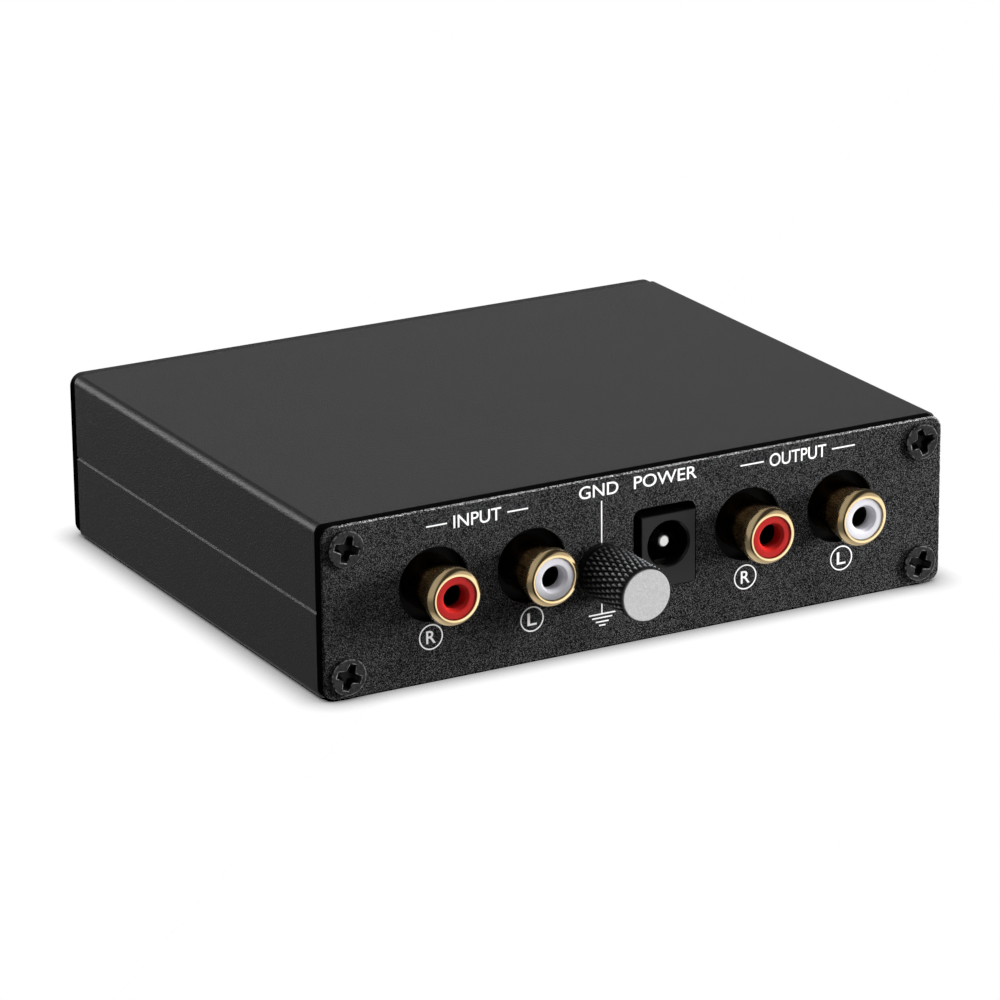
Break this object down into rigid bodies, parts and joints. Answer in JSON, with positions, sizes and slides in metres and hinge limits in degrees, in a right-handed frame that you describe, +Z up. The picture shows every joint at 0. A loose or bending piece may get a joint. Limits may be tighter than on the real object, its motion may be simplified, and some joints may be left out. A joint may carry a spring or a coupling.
{
  "type": "phono preamplifier",
  "caption": "Flat black box that amplifies a turntable's signal, with gold phono jacks, a barrel power inlet, a ground thumb nut, a power button and a gain selector.",
  "frame": {"origin": "centre of the flat underside, midway between the sides and between the outer faces of the end panels", "axes": "+Z up out of the top, -Y out of the jack panel, +Y out of the control panel, +X to the right of someone who faces the jack panel"},
  "size_m": [0.102, 0.1012, 0.0257],
  "materials": {
    "case_black": "smooth satin black anodised",
    "panel_black": "fine sandy black powder coat",
    "screw_black": "blackened steel, satin",
    "jack_gold": "gold plated, polished",
    "insulator_red": "satin moulded",
    "insulator_white": "satin moulded",
    "housing_black": "moulded, matte",
    "contact_tin": "tin plated",
    "nut_black": "black knurled, bare metal end face",
    "stud_brass": "plain machined",
    "wire_green": "soft insulation",
    "button_metal": "satin turned",
    "lever_black": "moulded",
    "lens_blue": "clear tinted",
    "board_green": "solder mask gloss",
    "chip_black": "moulded epoxy",
    "socket_black": "moulded",
    "film_ochre": "epoxy box",
    "resistor_blue": "lacquered, banded",
    "diode_black": "moulded, banded",
    "can_sleeve": "shrink sleeve, bare metal top",
    "legend_white": "printed white ink"
  },
  "bodies": {
    "case": {"upper_shell": "case_black", "lower_shell": "case_black", "rear_panel": "panel_black", "front_panel": "panel_black", "rear_panel_screws": "screw_black", "front_panel_screws": "screw_black", "input_right_housing": "housing_black", "input_right_shell": "jack_gold", "input_right_insert": "insulator_red", "input_right_contact": "contact_tin", "input_left_housing": "housing_black", "input_left_shell": "jack_gold", "input_left_insert": "insulator_white", "input_left_contact": "contact_tin", "output_right_housing": "housing_black", "output_right_shell": "jack_gold", "output_right_insert": "insulator_red", "output_right_contact": "contact_tin", "output_left_housing": "housing_black", "output_left_shell": "jack_gold", "output_left_insert": "insulator_white", "output_left_contact": "contact_tin", "power_inlet_housing": "housing_black", "power_inlet_pin": "contact_tin", "power_inlet_spring": "contact_tin", "ground_stud": "stud_brass", "ground_lug": "contact_tin", "ground_inner_nut": "stud_brass", "ground_wire": "wire_green", "power_switch_body": "housing_black", "indicator_lens": "lens_blue", "indicator_leads": "contact_tin", "selector_body": "housing_black", "selector_frame": "contact_tin", "circuit_board": "board_green", "amplifier_sockets": "socket_black", "amplifier_chips": "chip_black", "film_capacitors": "film_ochre", "regulators": "chip_black", "resistors": "resistor_blue", "rectifier_diodes": "diode_black", "reservoir_capacitors": "can_sleeve", "coupling_capacitors": "can_sleeve", "decoupling_capacitors": "can_sleeve"},
    "clamp_washer": {"ground_washer": "nut_black"},
    "thumb_nut": {"ground_thumb_nut": "nut_black"},
    "button": {"power_button": "button_metal", "power_switch_plunger": "lever_black"},
    "selector": {"selector_lever": "lever_black"}
  },
  "joints": [
    {"name": "clamp_washer_slide", "type": "slide", "parent": "case", "child": "clamp_washer", "axis": [0, -1, 0], "range_m": [0, 0.0077]},
    {"name": "thumb_nut_turn", "type": "hinge", "parent": "clamp_washer", "child": "thumb_nut", "pos_m": [-0.0065, -0.0428, 0.0119], "axis": [0, -1, 0], "range_deg": [0, 3960]},
    {"name": "power_button_press", "type": "slide", "parent": "case", "child": "button", "axis": [0, -1, 0], "range_m": [0, 0.0025], "stiffness_N_per_m": 400, "springref_m": -0.002},
    {"name": "selector_slide", "type": "slide", "parent": "case", "child": "selector", "axis": [1, 0, 0], "range_m": [0, 0.004]}
  ],
  "couplings": [
    {"joint": "thumb_nut_turn", "follows": "clamp_washer_slide", "rad_per_m": 8976}
  ]
}
